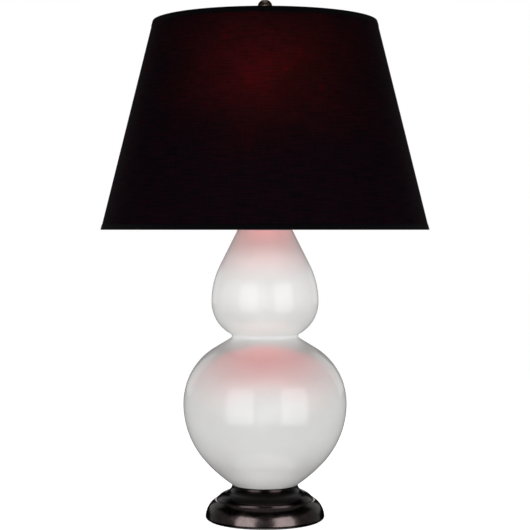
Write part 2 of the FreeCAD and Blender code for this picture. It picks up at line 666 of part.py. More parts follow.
# ------------------------------------------------------------------ harp
def make_harp():
    """The bowed harp wire with its flattened feet, its top plate and stud, and two ferrules."""
    wire_top = f"({harp_top} - harp_plate_thick - harp_wire)"
    foot = f"({shelf_top} + foot_lift)"
    top_middle = "(harp_reach - harp_top_bend)"
    bend_level = f"({wire_top} - harp_top_bend)"
    upper = (f"{top_middle} + harp_top_bend * cos(harp_flare)",
             f"{bend_level} - harp_top_bend * sin(harp_flare)")
    knee_out = "(harp_foot + harp_knee_bend * (1 - cos(harp_flare)))"
    knee_top = f"({upper[1]} - ({upper[0]} - {knee_out}) / tan(harp_flare))"
    harp = new_body("harp_wire")
    bow = wire_along(harp, [
        ("harp_foot", foot),
        ("harp_foot", f"{knee_top} - harp_knee_bend * sin(harp_flare)", ("harp_knee_bend", -1)),
        (knee_out, knee_top),
        (*upper, ("harp_top_bend", 1)),
        (top_middle, wire_top),
        ("0", wire_top),
    ], "XY_Plane", foot, "harp_foot", "0", "harp_wire")
    tongue_face = "(harp_foot - slip_gap / 2)"
    tongue = middle_pad(harp, "ear_width", [
        (f"{tongue_face} - tongue_thick", f"{shelf_top} + slip_gap"),
        (tongue_face, f"{shelf_top} + slip_gap"),
        (tongue_face, f"{shelf_top} + tongue_height"),
        (f"{tongue_face} - tongue_thick", f"{shelf_top} + tongue_height"),
    ])
    mirror_across(harp, [bow, tongue], "YZ_Plane")
    plate_low = f"({harp_top} - harp_plate_thick)"
    turned("harp_stud", [
        ("0", plate_low),
        ("harp_plate_radius", plate_low),
        ("harp_plate_radius", harp_top),
        ("stud_radius", harp_top),
        ("stud_radius", f"{harp_top} + stud_height - stud_chamfer"),
        ("stud_radius - stud_chamfer", f"{harp_top} + stud_height"),
        ("0", f"{harp_top} + stud_height"),
    ])
    for side, sign in (("left", "-"), ("right", "")):
        ferrule = turned(f"ferrule_{side}", [
            ("ferrule_bore", "0"),
            ("ferrule_bore + ferrule_wall", "0"),
            ("ferrule_bore + ferrule_wall", "ferrule_height"),
            ("ferrule_bore", "ferrule_height"),
        ])
        place(ferrule, x=f"{sign}harp_foot", z=f"{shelf_top} + seat_gap")


# ------------------------------------------------------------------ shade
slope = "((shade_bottom_radius - shade_top_radius) / shade_height)"


def cone(level, inset):
    """The radius of the shade's cone at a level, moved in by inset."""
    return f"(shade_top_radius + ({shade_top} - {level}) * {slope} - ({inset}))"


def skin(label, inset, thick):
    """One conical layer of the shade, from rim to rim, its outer face moved in by inset."""
    low, high = shade_base, shade_top
    turned(label, [
        (cone(low, f"{inset} + {thick}"), low),
        (cone(low, inset), low),
        (cone(high, inset), high),
        (cone(high, f"{inset} + {thick}"), high),
    ])


def rolled_trim(label, edge, inward):
    """A folded strip over one rim: outer leg, edge and a short inner leg round the ring."""
    outward = "+" if inward == "-" else "-"
    ring_space = "(2 * ring_wire + 2 * trim_gap)"
    inner_leg = f"(cloth_thick + liner_thick + {ring_space})"
    outer_end = f"({edge} {inward} trim_depth)"
    inner_end = f"({edge} {inward} {ring_space})"
    outside = f"({edge} {outward} trim_thick)"
    turned(label, [
        (cone(outer_end, "0"), outer_end),
        (cone(outer_end, "-trim_thick"), outer_end),
        (cone(outside, "-trim_thick"), outside),
        (cone(outside, f"{inner_leg} + trim_thick"), outside),
        (cone(inner_end, f"{inner_leg} + trim_thick"), inner_end),
        (cone(inner_end, inner_leg), inner_end),
        (cone(edge, inner_leg), edge),
        (cone(edge, "0"), edge),
    ])


def wire_ring(label, edge, inward):
    """A round wire ring just inside one rim."""
    level = f"({edge} {inward} (ring_wire + trim_gap))"
    ring = doc.addObject("Part::Torus", label)
    ring.Label = label
    middle = cone(level, "cloth_thick + liner_thick + ring_wire + trim_gap")
    ring.setExpression("Radius1", linked(middle))
    ring.setExpression("Radius2", linked("ring_wire"))
    place(ring, z=level)
    parts.append(ring)


def make_spider():
    """Hub washer and three bent arms that carry the shade on the harp's stud."""
    spider = new_body("shade_spider")
    revolve(spider, [
        ("stud_radius + pipe_gap", spider_seat),
        ("spider_hub", spider_seat),
        ("spider_hub", f"{spider_seat} + spider_hub_thick"),
        ("stud_radius + pipe_gap", f"{spider_seat} + spider_hub_thick"),
    ])
    start_level = f"({spider_seat} + spider_hub_thick / 2)"
    end_level = f"({shade_top} - 2 * ring_wire - 2 * trim_gap - spider_wire)"
    run_end = "(spider_hub + spider_run)"
    arm_end = cone(end_level, f"cloth_thick + liner_thick + trim_gap + spider_wire * {slope}")
    arm = wire_along(spider, [
        ("spider_hub - spider_grip", start_level),
        (run_end, start_level),
        (f"{run_end} + spider_bend", end_level),
        (arm_end, end_level),
    ], "YZ_Plane", "spider_hub - spider_grip", "0", start_level, "spider_wire")
    repeat_round(spider, arm, "spider_arms")
    place(spider, turn=(Vector(0, 0, 1), 90))


def make_shade():
    """Cloth and liner on two wire rings, with a rolled trim over each rim, and the spider."""
    skin("shade_cloth", "0", "cloth_thick")
    skin("shade_liner", "cloth_thick", "liner_thick")
    for name, edge, inward in (("top", shade_top, "-"), ("bottom", shade_base, "+")):
        wire_ring(f"shade_{name}_ring", edge, inward)
        rolled_trim(f"shade_{name}_trim", edge, inward)
    make_spider()


# ------------------------------------------------------------------ finial
def make_finial():
    """Turned ball finial and the threaded insert pressed up inside it."""
    top = f"({finial_seat} + finial_height)"
    ball = f"({top} - ball_radius)"
    neck_join = f"({ball} - sqrt(ball_radius^2 - finial_neck^2))"
    bead = f"({finial_seat} + insert_length + bead_up)"
    socket = "(insert_radius + insert_gap)"
    tube("finial_insert", "stud_radius + thread_gap", "insert_radius", finial_seat,
         f"{finial_seat} + insert_length")
    turned("finial_knob", [
        (socket, finial_seat),
        ("finial_foot", finial_seat),
        ("finial_foot", f"{finial_seat} + finial_foot_thick"),
        ("finial_waist", f"{finial_seat} + finial_foot_thick + finial_cove"),
        ("finial_waist", f"{bead} - bead_half - bead_fillet"),
        ("finial_bead", f"{bead} - bead_half", ("bead_half", 1)),
        ("finial_bead", f"{bead} + bead_half"),
        ("finial_neck", f"{bead} + finial_cove"),
        ("finial_neck", neck_join, ("ball_radius", 1)),
        ("ball_radius", ball, ("ball_radius", 1)),
        ("0", top),
        ("0", f"{finial_seat} + insert_length + insert_relief"),
        (socket, f"{finial_seat} + insert_length + insert_relief"),
    ])


# ------------------------------------------------------------------ build, test and write
make_foot()
make_pipe_stack()
make_gourd()
make_neck()
make_socket()
make_switch()
make_bulb()
make_harp()
make_shade()
make_finial()
doc.recompute()

for item in doc.Objects:
    if {"Invalid", "Error"} & set(item.State):
        raise RuntimeError(f"{item.Label} did not build: {item.State}")
for part in parts:
    if part.Shape.isNull() or not part.Shape.isValid() or not part.Shape.Solids:
        raise RuntimeError(f"{part.Label} has no valid solid")

os.makedirs("parts", exist_ok=True)
for part in parts:
    part.Shape.exportStep(f"parts/{part.Label}.step")
    print(f"{part.Label}: {len(part.Shape.Solids)} solid(s), {part.Shape.Volume:.0f} mm3")
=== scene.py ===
"""Looks of the double gourd table lamp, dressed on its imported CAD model.

A glazed two-lobed body stands on a cast bronze foot. A dark slubbed cone shade with a red lining
hangs on a harp over a lit bulb, under a ball finial. The lamp's sizes are in millimetres, the
studio's in metres. +Z is up, and the camera looks along +Y.
"""

import logging
import math
from dataclasses import dataclass
from enum import Enum

import bmesh
import bpy
import numpy as np
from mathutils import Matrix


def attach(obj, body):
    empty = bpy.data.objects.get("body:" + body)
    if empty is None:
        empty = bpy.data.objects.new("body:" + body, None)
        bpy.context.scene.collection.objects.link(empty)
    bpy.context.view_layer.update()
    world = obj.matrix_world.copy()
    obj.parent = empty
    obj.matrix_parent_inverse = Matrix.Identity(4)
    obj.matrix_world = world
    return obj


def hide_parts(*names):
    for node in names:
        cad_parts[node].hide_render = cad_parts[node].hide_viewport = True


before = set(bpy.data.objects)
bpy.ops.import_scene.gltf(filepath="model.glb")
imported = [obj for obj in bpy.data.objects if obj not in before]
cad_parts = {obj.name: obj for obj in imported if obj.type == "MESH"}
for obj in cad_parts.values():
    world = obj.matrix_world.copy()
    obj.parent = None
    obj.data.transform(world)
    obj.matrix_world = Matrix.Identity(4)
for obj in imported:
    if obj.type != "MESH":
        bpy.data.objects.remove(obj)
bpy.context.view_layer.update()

MM = 0.001
# Edges that turn by more than this stay sharp.
SMOOTH_LIMIT = math.radians(35)
# The range in which nearly all of a noise's values lie.
NOISE_RANGE = (0.3, 0.7)
GLASS_INDEX = 1.5
log = logging.getLogger("gourd_lamp")

# A corner of an outline, see outline(), and the inputs of a node by name or number.
Corner = tuple
Links = dict


# -------- colour and node trees
def linear(code: str) -> tuple[float, float, float, float]:
    """Turn a six-digit sRGB code into a linear colour.

    Args:
        code: The colour as it is seen, such as "EDECE8".

    Returns:
        Red, green, blue and an opaque alpha, as the shaders take them.
    """
    levels = np.array([int(code[at:at + 2], 16) for at in (0, 2, 4)]) / 255
    curve = np.where(levels <= 0.04045, levels / 12.92, ((levels + 0.055) / 1.055) ** 2.4)
    return (*curve.tolist(), 1.0)


class Board:
    """A node tree that grows one node at a time, each linked as it is added."""

    def __init__(self, tree: bpy.types.NodeTree) -> None:
        """Start from an empty tree."""
        self.tree = tree
        tree.nodes.clear()

    def add(self, kind: str, settings: dict | None = None, inputs: Links | None = None
            ) -> bpy.types.Node:
        """Add a node, set it up and link it.

        Args:
            kind: The node's type in Blender.
            settings: Properties of the node itself.
            inputs: Socket name or number to a plain value, or to a socket that feeds it.

        Returns:
            The new node.
        """
        node = self.tree.nodes.new(kind)
        for name, setting in (settings or {}).items():
            setattr(node, name, setting)
        for name, source in (inputs or {}).items():
            if isinstance(source, bpy.types.NodeSocket):
                self.tree.links.new(source, node.inputs[name])
            else:
                node.inputs[name].default_value = source
        return node

    def noise(self, size: float, detail: float, **others: float) -> bpy.types.NodeSocket:
        """Add a noise that stays with the object.

        Args:
            size: Width of its waves, mm.
            detail: How many finer layers lie over them.
            others: More inputs of the noise.

        Returns:
            The socket of its value.
        """
        where = self.add("ShaderNodeTexCoord").outputs["Object"]
        return self.add("ShaderNodeTexNoise", inputs={
            "Vector": where, "Scale": 1 / (size * MM), "Detail": detail, **others}
        ).outputs["Fac"]

    def ramp(self, value: bpy.types.NodeSocket, low: float, high: float,
             start: bpy.types.NodeSocket | float = 0.0, end: float = 1.0
             ) -> bpy.types.NodeSocket:
        """Give start where the value is low or less, end where it is high or more."""
        return self.add("ShaderNodeMapRange", inputs={
            "Value": value, "From Min": low, "From Max": high, "To Min": start, "To Max": end}
        ).outputs["Result"]

    def tone(self, share: bpy.types.NodeSocket, colour: str, other: str
             ) -> bpy.types.NodeSocket:
        """Go from one colour to the other as the share goes from 0 to 1."""
        return self.add("ShaderNodeMix", {"data_type": "RGBA"}, {
            0: share, 6: linear(colour), 7: linear(other)}).outputs[2]

    def relief(self, height: bpy.types.NodeSocket, depth: float, strength: float = 1.0
               ) -> bpy.types.NodeSocket:
        """Bend the surface's normal as a relief would that is depth mm deep."""
        return self.add("ShaderNodeBump", inputs={
            "Strength": strength, "Distance": depth * MM, "Height": height}
        ).outputs["Normal"]


# -------- finishes
@dataclass(frozen=True)
class Finish:
    """A plain even finish, and what every other kind of finish starts from.

    Attributes:
        name: What the material is, in a maker's words.
        colour: The colour as it is seen, an sRGB code.
        roughness: From 0, a mirror, to 1, chalk.
        metallic: 1 for bare metal, 0 for the rest.
    """

    name: str
    colour: str
    roughness: float = 0.5
    metallic: float = 0.0

    def sockets(self, board: Board) -> Links:
        """Give the surface shader's inputs; a kind of finish with a texture adds its own."""
        return {"Base Color": linear(self.colour)}

    def fixed(self) -> Links:
        """Give the shader values that are the same all over the surface."""
        return {"Roughness": self.roughness, "Metallic": self.metallic}

    def material(self) -> bpy.types.Material:
        """Build the material once, and hand out the same one from then on."""
        made = bpy.data.materials.get(self.name)
        if made:
            return made
        made = bpy.data.materials.new(self.name)
        made.use_nodes = True
        board = Board(made.node_tree)
        inputs = {**self.fixed(), **self.sockets(board)}
        surface = board.add("ShaderNodeBsdfPrincipled", inputs=inputs)
        board.add("ShaderNodeOutputMaterial", inputs={"Surface": surface.outputs["BSDF"]})
        return made


@dataclass(frozen=True)
class Glaze(Finish):
    """Glassy white glaze over a cast ceramic body.

    Attributes:
        ripple: Width of the glaze's slow waves, mm.
        wave: Height of those waves, mm.
        fleck: The colour that the thinner glaze leans to.
    """

    ripple: float = 26.0
    wave: float = 0.05
    fleck: str = "E8E7E4"

    def sockets(self, board: Board) -> Links:
        """Waves that bend the highlights a little, and a hardly visible change of tone."""
        waves = board.noise(self.ripple, detail=2.0)
        return {"Base Color": board.tone(waves, self.colour, self.fleck),
                "Normal": board.relief(waves, self.wave)}

    def fixed(self) -> Links:
        """A glaze is a glass, so its index is a glass's."""
        return {"Roughness": self.roughness, "IOR": GLASS_INDEX}


@dataclass(frozen=True)
class Metal(Finish):
    """Bare metal whose gloss changes a little from place to place.

    Attributes:
        swing: How far the roughness goes below and above its middle.
    """

    swing: tuple[float, float] = (0.04, 0.06)

    def fixed(self) -> Links:
        """Metal all over."""
        return {"Metallic": self.metallic}

    def gloss(self, board: Board, noise: bpy.types.NodeSocket) -> bpy.types.NodeSocket:
        """The roughness, as a noise moves it."""
        below, above = self.swing
        return board.ramp(noise, *NOISE_RANGE, self.roughness - below, self.roughness + above)


@dataclass(frozen=True)
class Patina(Metal):
    """Cast metal under a mottled brown-black patina.

    Attributes:
        rubbed: The lighter colour where the patina is rubbed.
        mottle: Size of the mottling, mm.
        cast: Height of the cast skin's unevenness, mm.
        patches: Noise values between which the patina gives way to the rubbed colour.
    """

    rubbed: str = "8A7A70"
    mottle: float = 9.0
    cast: float = 0.03
    patches: tuple[float, float] = (0.38, 0.66)
    swing: tuple[float, float] = (0.05, 0.07)

    def sockets(self, board: Board) -> Links:
        """Cloudy mottling in the colour and the gloss, and a faint cast skin."""
        clouds = board.noise(self.mottle, detail=5.0, Roughness=0.6)
        tone = board.tone(board.ramp(clouds, *self.patches), self.colour, self.rubbed)
        return {"Base Color": tone, "Roughness": self.gloss(board, clouds),
                "Normal": board.relief(clouds, self.cast)}


@dataclass(frozen=True)
class ShadedFootPatina(Patina):
    """The foot's patina, with shade painted on the neck and shoulder under the gourd's belly and
    none on the skirt.

    Attributes:
        shade_above: Level above which the painted shade is full, mm.
        unshaded_below: Level below which no shade is painted, mm.
        shade_share: How much of the metal's reflection is left under the painted shade.
    """

    shade_above: float = 36.0
    unshaded_below: float = 32.5
    shade_share: float = 0.25

    def sockets(self, board: Board) -> Links:
        """Paint shade on the mottled metal, darker from the skirt up to the shoulder."""
        links = super().sockets(board)
        # Painted shade: the metal's colour darkens with height from the step up to the neck.
        where = board.add("ShaderNodeTexCoord").outputs["Object"]
        level = board.add("ShaderNodeSeparateXYZ", inputs={"Vector": where}).outputs["Z"]
        share = board.ramp(level, self.unshaded_below * MM, self.shade_above * MM, 1.0,
                           self.shade_share)
        tone = board.add("ShaderNodeVectorMath", {"operation": "SCALE"}, {
            0: links["Base Color"], "Scale": share})
        return {**links, "Base Color": tone.outputs["Vector"]}


@dataclass(frozen=True)
class Slub(Finish):
    """Woven cloth with uneven slub threads, read in the sheet's own flat metres.

    Attributes:
        thick: The colour of the thick slubs.
        run: How long one slub runs, mm.
        rise: How high one slub stands in the weave, mm.
        weave: The pitch of the plain threads, mm.
        depth: How far the slubs stand out, mm.
        through: The share of light that filters through.
        shine: How much the fibres glint, beside 0.5 for a smooth surface.
        tint: How bright the sheen of the fibres' own gloss is.
        weft_share: The weft's part in the pattern; the warp has the rest.
    """

    thick: str = "1A171B"
    run: float = 34.0
    rise: float = 1.7
    weave: float = 1.1
    depth: float = 0.12
    through: float = 0.5
    shine: float = 0.02
    tint: float = 0.05
    weft_share: float = 0.6

    def sockets(self, board: Board) -> Links:
        """Long noise streaks along the weft, short ones along the warp."""
        flat = board.add("ShaderNodeTexCoord").outputs["UV"]
        streaks = []
        for across, up in ((self.run, self.rise), (self.weave, self.run * 0.6)):
            stretched = board.add("ShaderNodeMapping", inputs={
                "Vector": flat, "Scale": (1 / (across * MM), 1 / (up * MM), 1.0)})
            streaks.append(board.add("ShaderNodeTexNoise", {"noise_dimensions": "2D"}, {
                "Vector": stretched.outputs["Vector"], "Scale": 1.0, "Detail": 3.0,
                "Roughness": 0.6}).outputs["Fac"])
        warp = board.add("ShaderNodeMath", {"operation": "MULTIPLY"}, {
            0: streaks[1], 1: 1 - self.weft_share})
        woven = board.add("ShaderNodeMath", {"operation": "MULTIPLY_ADD"}, {
            0: streaks[0], 1: self.weft_share, 2: warp.outputs["Value"]}).outputs["Value"]
        share = board.ramp(woven, low=0.4, high=0.6)
        return {"Base Color": board.tone(share, self.colour, self.thick),
                "Normal": board.relief(woven, self.depth)}

    def fixed(self) -> Links:
        """Fibres that scatter a little light through to the other side."""
        return {"Roughness": self.roughness, "IOR": 1.45, "Specular IOR Level": self.shine,
                "Specular Tint": (*[self.tint] * 3, 1.0), "Transmission Weight": self.through}


@dataclass(frozen=True)
class Glowing(Finish):
    """Frosted glass lit from inside.

    Attributes:
        light: The colour of its light.
        strength: How bright it is beside a white card at 1.
    """

    light: str = "FFE2C0"
    strength: float = 3.0

    def fixed(self) -> Links:
        """A matt glass skin that shines evenly."""
        return {"Roughness": self.roughness, "IOR": GLASS_INDEX,
                "Emission Color": linear(self.light), "Emission Strength": self.strength}


@dataclass(frozen=True)
class ClearGlass(Finish):
    """Clear glass."""

    def fixed(self) -> Links:
        """Light passes right through."""
        return {"Roughness": self.roughness, "IOR": GLASS_INDEX, "Transmission Weight": 1.0}


@dataclass(frozen=True)
class Fibre(Finish):
    """Felt or fibre board, read from its grain.

    Attributes:
        grain: Size of the tufts, mm.
        depth: Height of the tufts, mm.
        light: The colour of the raised fibres.
        softness: How much of that height the soft tufts keep.
    """

    grain: float = 1.6
    depth: float = 0.3
    light: str = "2E2C2B"
    softness: float = 0.8

    def sockets(self, board: Board) -> Links:
        """Fine noise in colour and height."""
        tufts = board.noise(self.grain, detail=3.0)
        return {"Base Color": board.tone(tufts, self.colour, self.light),
                "Normal": board.relief(tufts, self.depth, self.softness)}


@dataclass(frozen=True)
class Spun(Metal):
    """Plated or lacquered metal with a fine turned or drawn grain.

    Attributes:
        pitch: Spacing of the grain, mm.
        depth: Depth of the grain, mm.
    """

    pitch: float = 0.8
    depth: float = 0.006

    def sockets(self, board: Board) -> Links:
        """Fine noise in the gloss and the height."""
        grain = board.noise(self.pitch, detail=2.0)
        return {"Base Color": linear(self.colour), "Roughness": self.gloss(board, grain),
                "Normal": board.relief(grain, self.depth)}


class Finishes(Enum):
    """Each finish of the lamp, under the name of its material slot in model.glb."""

    # Felt: wool fibres pressed into a sheet and cut to a disc; dull charcoal.
    felt = Fibre("pressed_felt", "211F1E", 0.95)
    # Oil-rubbed bronze: cast, patinated and waxed; brown-black with soft clear highlights; shade
    # painted on its neck and shoulder.
    dark_bronze = ShadedFootPatina("waxed_dark_bronze", "312B2B", 0.2, 1.0, rubbed="3B3433")
    # Aged bronze: turned, patinated and rubbed back; mottled grey-brown.
    finial_bronze = Patina("mottled_bronze", "453C37", 0.3, 1.0, rubbed="75675C", mottle=4.0,
                           cast=0.08)
    # Grey cast iron as it leaves the mould, unpainted; matt dark grey.
    ballast_iron = Spun("cast_iron", "4A4845", 0.6, 1.0, pitch=2.0, depth=0.08)
    # Steel with a zinc plating; cool light grey.
    zinc_steel = Spun("zinc_plated_steel", "B8BABB", 0.35, 1.0)
    # Moulded black nylon; even and slightly satin.
    bush_plastic = Finish("black_nylon", "1B1B1C", 0.45)
    # Black rubber sheet, die-cut; dead black.
    gasket_rubber = Finish("black_rubber", "1C1B1A", 0.8)
    # White gloss glaze, fired on slip-cast stoneware; clean white with sharp window highlights.
    white_glaze = Glaze("gloss_white_glaze", "EDEEEE", 0.03)
    # Lacquered brass, spun and drawn; warm yellow, satin.
    lamp_brass = Spun("satin_brass", "C9A35C", 0.28, 1.0)
    # Nickel-plated steel wire and stampings; pale warm grey, fairly bright.
    harp_nickel = Spun("nickel_plate", "C6C0B6", 0.22, 1.0)
    # Vulcanised fibre paper; dull brown.
    fibre_paper = Fibre("fibre_board", "3B2B20", 0.8, grain=0.8, depth=0.02, light="4A382B")
    # Moulded phenolic resin; near-black brown.
    phenolic = Finish("phenolic_resin", "1E1815", 0.4)
    # Moulded black plastic; even, semi-gloss.
    knob_plastic = Finish("black_knob_plastic", "191818", 0.35)
    # Drawn aluminium; light grey.
    cap_aluminium = Spun("drawn_aluminium", "D2D3D4", 0.3, 1.0)
    # Black glass bead round the contact; glossy.
    black_glass = Finish("black_glass", "0E0E10", 0.1)
    # Frosted soda glass with a lamp lit inside; glows an even warm white.
    frosted_glass = Glowing("frosted_lit_glass", "F4EFE6", 0.6)
    # Clear lead glass of the stem.
    clear_glass = ClearGlass("clear_stem_glass", "F4F7F6", 0.03)
    # Nickel-plated copper lead wire.
    lead_wire = Spun("lead_wire_metal", "A9A39A", 0.35, 1.0)
    # Slubbed linen, dyed near-black, glued to its lining; uneven threads lie along the weft.
    shade_linen = Slub("black_slub_linen", "0F0E17", 0.85, thick="26121D")
    # Red laminate lining, opaque paper-backed foil; strong clear red.
    shade_lining = Slub("red_laminate", "8E0D19", 0.85, thick="98101C", depth=0.01, through=0.9,
                        shine=0.2, tint=1.0)
    # Black grosgrain ribbon folded over the rims; a little smoother than the linen.
    shade_trim = Slub("black_rim_ribbon", "0D0C0E", 0.75, thick="131214", run=3.0, rise=0.9,
                      through=0.0)
    # Black-lacquered steel wire of the rings and spider.
    shade_frame = Finish("black_wire_lacquer", "1D1C1D", 0.35)


# -------- outlines and meshes
def show(name: str, data: bpy.types.ID) -> bpy.types.Object:
    """Make an object of a mesh, a lamp or a camera, and put it in the scene."""
    item = bpy.data.objects.new(name, data)
    bpy.context.scene.collection.objects.link(item)
    return item


def arc(centre: tuple[float, float], radius: float, low: float, high: float) -> np.ndarray:
    """Points of an arc between two angles in degrees, about 2 mm apart."""
    count = max(int(abs(math.radians(high - low)) * radius / 2), 6)
    angles = np.radians(np.linspace(low, high, count))
    return np.array(centre) + radius * np.stack([np.cos(angles), np.sin(angles)], axis=1)


def bow(start: np.ndarray, end: np.ndarray, radius: float, turn: int, step: float
        ) -> np.ndarray:
    """Points of an arc from start up to, but without, its end.

    The centre lies on the chord's perpendicular through its middle, at the distance that
    Pythagoras gives from the radius and half the chord.

    Args:
        start: First point, (radius, height).
        end: Last point.
        radius: The arc's radius.
        turn: 1 where the centre lies left of the way along the arc, -1 right.
        step: The longest side of the sampled arc.

    Returns:
        The points, one a row.
    """
    chord = end - start
    length = float(np.hypot(*chord))
    reach = math.sqrt(max(radius**2 - (length / 2) ** 2, 0.0))
    centre = (start + end) / 2 + np.array([-chord[1], chord[0]]) / length * reach * turn
    first = math.atan2(*(start - centre)[::-1])
    sweep = 2 * math.asin(min(length / 2 / radius, 1.0)) * turn
    count = max(int(abs(sweep) * radius / step), 4)
    angles = first + sweep * np.arange(count) / count
    return centre + radius * np.stack([np.cos(angles), np.sin(angles)], axis=1)


def outline(corners: list[Corner], step: float = 1.5) -> np.ndarray:
    """Sample a closed outline of straight sides and arcs.

    Args:
        corners: (radius, height) in mm, with (bend radius, turn) added where the side that
            starts there is an arc.
        step: The longest side of a sampled arc, mm.

    Returns:
        The outline's points in mm, one a row.
    """
    places = np.array([corner[:2] for corner in corners], float)
    runs = []
    for index, corner in enumerate(corners):
        start, end = places[index], places[(index + 1) % len(places)]
        runs.append(bow(start, end, *corner[2], step) if len(corner) > 2 else start[None])
    return np.concatenate(runs)


def new_piece(name: str, points: np.ndarray, faces: np.ndarray, finish: Finish,
              flat: np.ndarray | None = None) -> bpy.types.Object:
    """Make a closed, smooth-shaded mesh object from plain arrays.

    Args:
        name: The object's name.
        points: Places in mm, one a row.
        faces: Four corner numbers a row.
        finish: What it is made of.
        flat: For each corner of each face, its place in the flat sheet, in metres.

    Returns:
        The object, linked to the scene.
    """
    mesh = bpy.data.meshes.new(name)
    mesh.from_pydata((points * MM).tolist(), [], faces.tolist())
    if flat is not None:
        layer = mesh.uv_layers.new(name="flat_sheet")
        layer.data.foreach_set("uv", flat.reshape(-1).astype(np.float32))
    work = bmesh.new()
    work.from_mesh(mesh)
    bmesh.ops.remove_doubles(work, verts=work.verts[:], dist=1e-7)
    bmesh.ops.recalc_face_normals(work, faces=work.faces[:])
    work.to_mesh(mesh)
    work.free()
    mesh.shade_smooth()
    mesh.set_sharp_from_angle(angle=SMOOTH_LIMIT)
    mesh.materials.append(finish.material())
    return show(name, mesh)


def grid_faces(rows: int, columns: int, closed: bool = True) -> np.ndarray:
    """Four corner numbers for every cell of a grid, which may close on itself both ways."""
    row, column = np.indices((rows, columns) if closed else (rows - 1, columns - 1))
    after, beside = (row + 1) % rows, (column + 1) % columns
    cell = [row * columns + column, after * columns + column, after * columns + beside,
            row * columns + beside]
    return np.stack(cell, axis=-1).reshape(-1, 4)


def lathe(name: str, profile: np.ndarray, finish: Finish, around: int = 180,
          cloth_radius: float | None = None) -> bpy.types.Object:
    """Turn a closed profile round Z.

    Each point (r, z) goes to (-r sin a, r cos a, z) for evenly spaced angles a, counted from
    the back so that a sheet's seam lies there.

    Args:
        name: The piece's name.
        profile: Points (radius, height) in mm.
        finish: What it is made of.
        around: Number of steps round the axis.
        cloth_radius: The radius at which the flat sheet's width is true, mm, for cloth.

    Returns:
        The turned piece.
    """
    angle = np.arange(around) * (2 * math.pi / around)
    radius, height = profile.T
    points = np.stack([
        -np.outer(np.sin(angle), radius), np.outer(np.cos(angle), radius),
        np.broadcast_to(height, (around, len(height)))], axis=-1).reshape(-1, 3)
    flat = None
    if cloth_radius is not None:
        sides = np.hypot(*np.diff(profile, axis=0, append=profile[:1]).T)
        along = np.concatenate([[0.0], np.cumsum(sides)]) * MM
        turn, place = np.indices((around, len(profile)))
        width = 2 * math.pi * cloth_radius * MM / around
        flat = np.stack([
            np.stack([turn, turn + 1, turn + 1, turn], axis=-1) * width,
            np.stack([along[place], along[place], along[place + 1], along[place + 1]],
                     axis=-1)], axis=-1)
    return new_piece(name, points, grid_faces(around, len(profile)), finish, flat)


def rod(name: str, path: np.ndarray, radius: float, finish: Finish, sides: int = 16
        ) -> bpy.types.Object:
    """Sweep a round wire along a closed path.

    The section's frame is the path's tangent, a fixed side direction taken square to it, and
    their cross product.

    Args:
        name: The piece's name.
        path: Points in mm, the last joining the first.
        radius: The wire's radius, mm.
        finish: What it is made of.
        sides: Number of sides of the section.

    Returns:
        The closed ring of wire.
    """
    tangent = np.roll(path, -1, axis=0) - np.roll(path, 1, axis=0)
    tangent /= np.linalg.norm(tangent, axis=1, keepdims=True)
    across = np.cross(tangent, (0.0, 0.0, 1.0))
    across /= np.linalg.norm(across, axis=1, keepdims=True)
    over = np.cross(across, tangent)
    turn = np.arange(sides) * (2 * math.pi / sides)
    points = (path[:, None] + radius * (np.cos(turn)[None, :, None] * across[:, None]
                                        + np.sin(turn)[None, :, None] * over[:, None]))
    return new_piece(name, points.reshape(-1, 3), grid_faces(len(path), sides), finish)


def dress(piece: bpy.types.Object, body: str, slot: Finishes, *nodes: str
          ) -> bpy.types.Object:
    """Let a piece ride on its body and stand for CAD nodes.

    Args:
        piece: The finished piece.
        body: The CAD body that it moves with.
        slot: Not used.
        nodes: CAD nodes that it stands for.

    Returns:
        The same piece.
    """
    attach(piece, body)
    if nodes:
        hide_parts(*nodes)
    log.info("%s: %d faces, on %s", piece.name, len(piece.data.polygons), body)
    return piece


# -------- sub-assemblies
@dataclass
class Foot:
    """The cast foot: cove, rounded shoulder, small step and domed skirt."""

    underside: float = 1.0
    top: float = 52.6
    neck: float = 50.0
    cove: float = 12.0
    cove_out: float = 9.0
    cove_drop: float = 10.3
    step: float = 73.5
    step_level: float = 31.8
    step_drop: float = 1.3
    step_out: float = 3.3
    shoulder_bend: float = 30.0
    skirt_bend: float = 32.0
    rim: float = 90.5
    rim_round: float = 4.0
    wall: float = 6.5
    bore: float = 5.1
    plate: float = 5.8
    hollow_top: float = 46.6
    hollow_neck: float = 49.0
    edge_round: float = 0.5

    def profile(self) -> np.ndarray:
        """The foot's closed outline, its small edges eased as a caster eases them."""
        # Shares of the wall and of the edge's round set the points beside a bend.
        ease, ledge = self.edge_round, self.step_level - self.step_drop
        ledge_out = self.step + self.step_out
        return outline([
            (self.bore, self.top - self.plate), (self.hollow_top, self.top - self.plate),
            (self.hollow_neck, self.top - self.cove_drop - self.wall / 2),
            (self.step - self.wall * 1.2, self.step_level - self.wall / 2),
            (self.step - self.wall / 4, ledge - self.wall, (self.skirt_bend - self.wall, -1)),
            (self.rim - self.wall, self.underside + self.rim_round),
            (self.rim - self.wall, self.underside),
            (self.rim - self.rim_round, self.underside, (self.rim_round, 1)),
            (self.rim, self.underside + self.rim_round, (self.skirt_bend, 1)),
            (ledge_out + ease * 0.3, ledge - ease, (ease, 1)),
            (ledge_out - ease, ledge),
            (self.step, ledge),
            (self.step, self.step_level - ease, (ease, 1)),
            (self.step - ease * 0.4, self.step_level + ease * 0.2, (self.shoulder_bend, 1)),
            (self.neck + self.cove_out, self.top - self.cove_drop, (self.cove, -1)),
            (self.neck, self.top - ease, (ease, 1)),
            (self.neck - ease, self.top),
            (self.bore, self.top)], step=1.0)

    def build(self) -> None:
        """Make the foot."""
        metal = Finishes.dark_bronze
        dress(lathe("cast_foot", self.profile(), metal.value), "base", metal, "base_shell")


